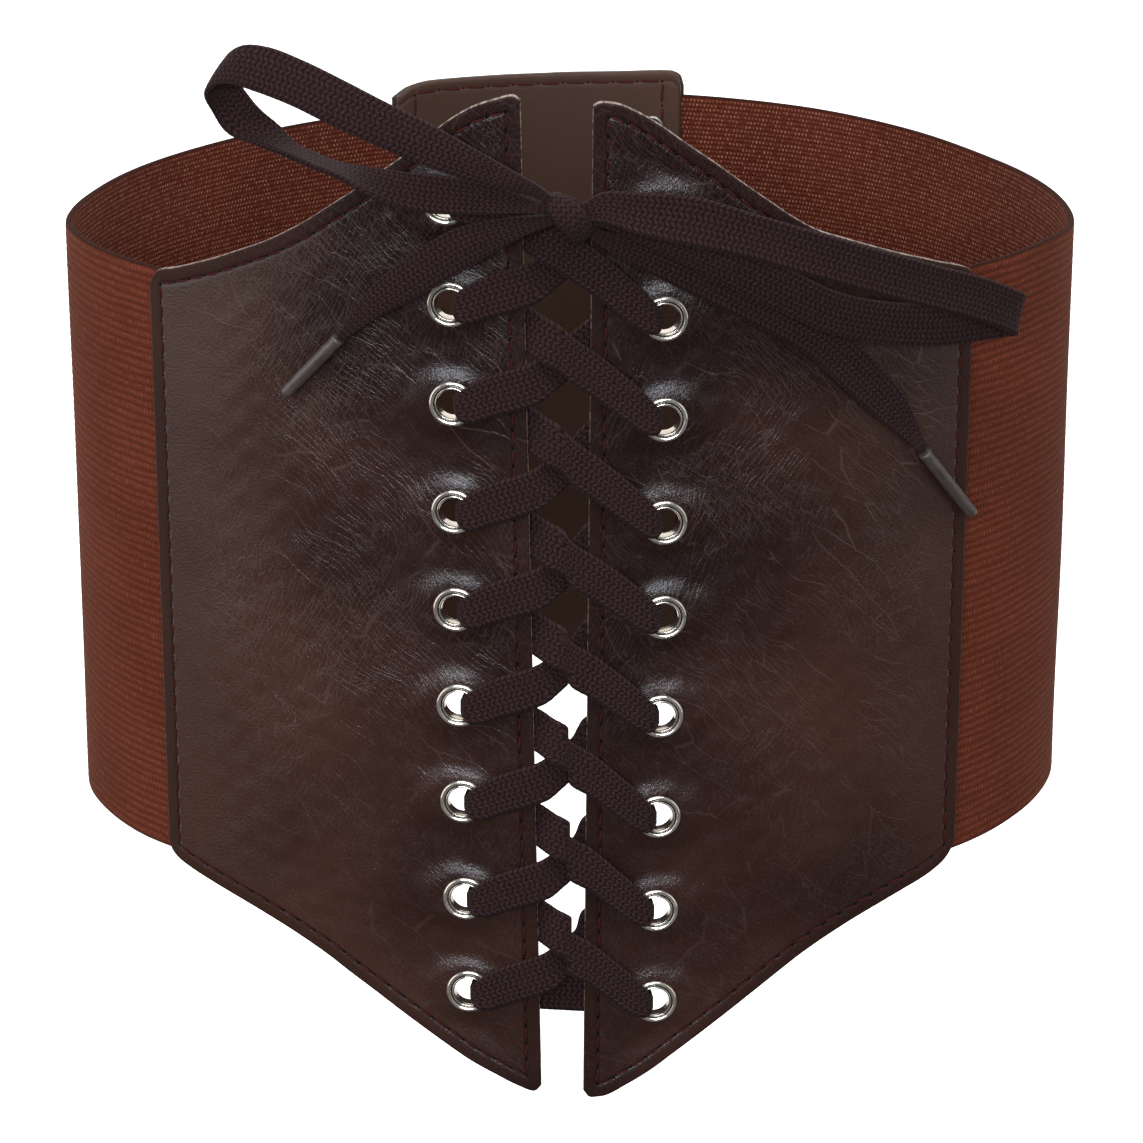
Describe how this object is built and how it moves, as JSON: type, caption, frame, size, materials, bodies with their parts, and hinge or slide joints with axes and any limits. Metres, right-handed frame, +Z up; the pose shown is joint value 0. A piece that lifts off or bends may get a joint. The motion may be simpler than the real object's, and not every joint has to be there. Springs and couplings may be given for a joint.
{
  "type": "wide elastic belt",
  "caption": "Wide elastic waist belt with two tall leather-look front panels, laced through metal eyelets and tied in a bow.",
  "frame": {"origin": "middle of the waist opening, half way up the elastic bands", "axes": "+Z up the wearer's body, the laced front faces -Y, +X to the right seen from the front"},
  "size_m": [0.2279, 0.1868, 0.2448],
  "materials": {
    "panel_leather": "glossy dark brown crinkled leather-look sheet",
    "tab_leather": "satin brown leather-look lining",
    "elastic_webbing": "ribbed reddish brown elastic webbing",
    "lace_braid": "flat braided dark brown cotton lace",
    "eyelet_nickel": "polished nickel",
    "stud_metal": "dark grey metal",
    "lace_tip": "dark translucent plastic tip"
  },
  "bodies": {
    "root": {"front_panel_left": "panel_leather", "front_panel_right": "panel_leather", "elastic_left": "elastic_webbing", "elastic_right": "elastic_webbing", "back_tab_inner": "tab_leather", "back_tab_outer": "panel_leather", "back_stud": "stud_metal", "eyelet_left_1": "eyelet_nickel", "eyelet_left_2": "eyelet_nickel", "eyelet_left_3": "eyelet_nickel", "eyelet_left_4": "eyelet_nickel", "eyelet_left_5": "eyelet_nickel", "eyelet_left_6": "eyelet_nickel", "eyelet_left_7": "eyelet_nickel", "eyelet_left_8": "eyelet_nickel", "eyelet_left_9": "eyelet_nickel", "eyelet_right_1": "eyelet_nickel", "eyelet_right_2": "eyelet_nickel", "eyelet_right_3": "eyelet_nickel", "eyelet_right_4": "eyelet_nickel", "eyelet_right_5": "eyelet_nickel", "eyelet_right_6": "eyelet_nickel", "eyelet_right_7": "eyelet_nickel", "eyelet_right_8": "eyelet_nickel", "eyelet_right_9": "eyelet_nickel", "lace_left_2": "lace_braid", "lace_left_3": "lace_braid", "lace_left_4": "lace_braid", "lace_left_5": "lace_braid", "lace_left_6": "lace_braid", "lace_left_7": "lace_braid", "lace_left_8": "lace_braid", "lace_left_9": "lace_braid", "lace_right_2": "lace_braid", "lace_right_3": "lace_braid", "lace_right_4": "lace_braid", "lace_right_5": "lace_braid", "lace_right_6": "lace_braid", "lace_right_7": "lace_braid", "lace_right_8": "lace_braid", "lace_right_9": "lace_braid", "lace_bottom_bar": "lace_braid", "lace_lead_left": "lace_braid", "lace_lead_right": "lace_braid", "bow_loop_left": "lace_braid", "bow_loop_right": "lace_braid", "bow_tail_left": "lace_braid", "bow_tail_right": "lace_braid", "bow_knot": "lace_braid", "aglet_left": "lace_tip", "aglet_right": "lace_tip"}
  },
  "joints": []
}
